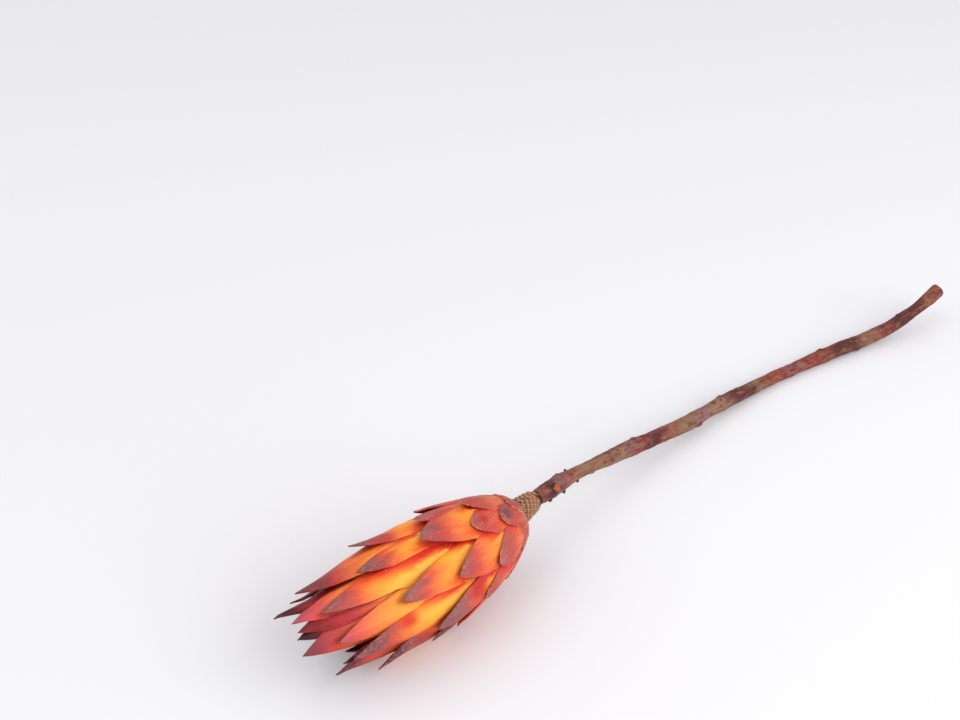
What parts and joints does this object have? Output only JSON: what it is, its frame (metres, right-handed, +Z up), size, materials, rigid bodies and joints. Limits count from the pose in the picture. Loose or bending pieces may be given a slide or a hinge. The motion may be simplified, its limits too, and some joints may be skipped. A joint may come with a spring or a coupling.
{
  "type": "dried sugarbush protea flower",
  "caption": "Dried, dyed protea flower head of overlapping pointed bracts on a cut woody stem, lying on its side.",
  "frame": {"origin": "on the surface the flower lies on, under the middle of its bounding box", "axes": "+X along the flower from its mouth to the cut end of the stem, +Z up from the surface, +Y to the side"},
  "size_m": [0.339, 0.0422, 0.0417],
  "materials": {
    "bracts": "dry leathery bracts dyed yellow, orange and red with grey-brown tips, satin",
    "neck_scales": "small dry tan scales, matt",
    "stem_bark": "thin red-brown bark with tan patches and leaf scars, matt"
  },
  "bodies": {
    "root": {"bloom": "bracts", "neck_scales": "neck_scales", "stem": "stem_bark"}
  },
  "joints": []
}
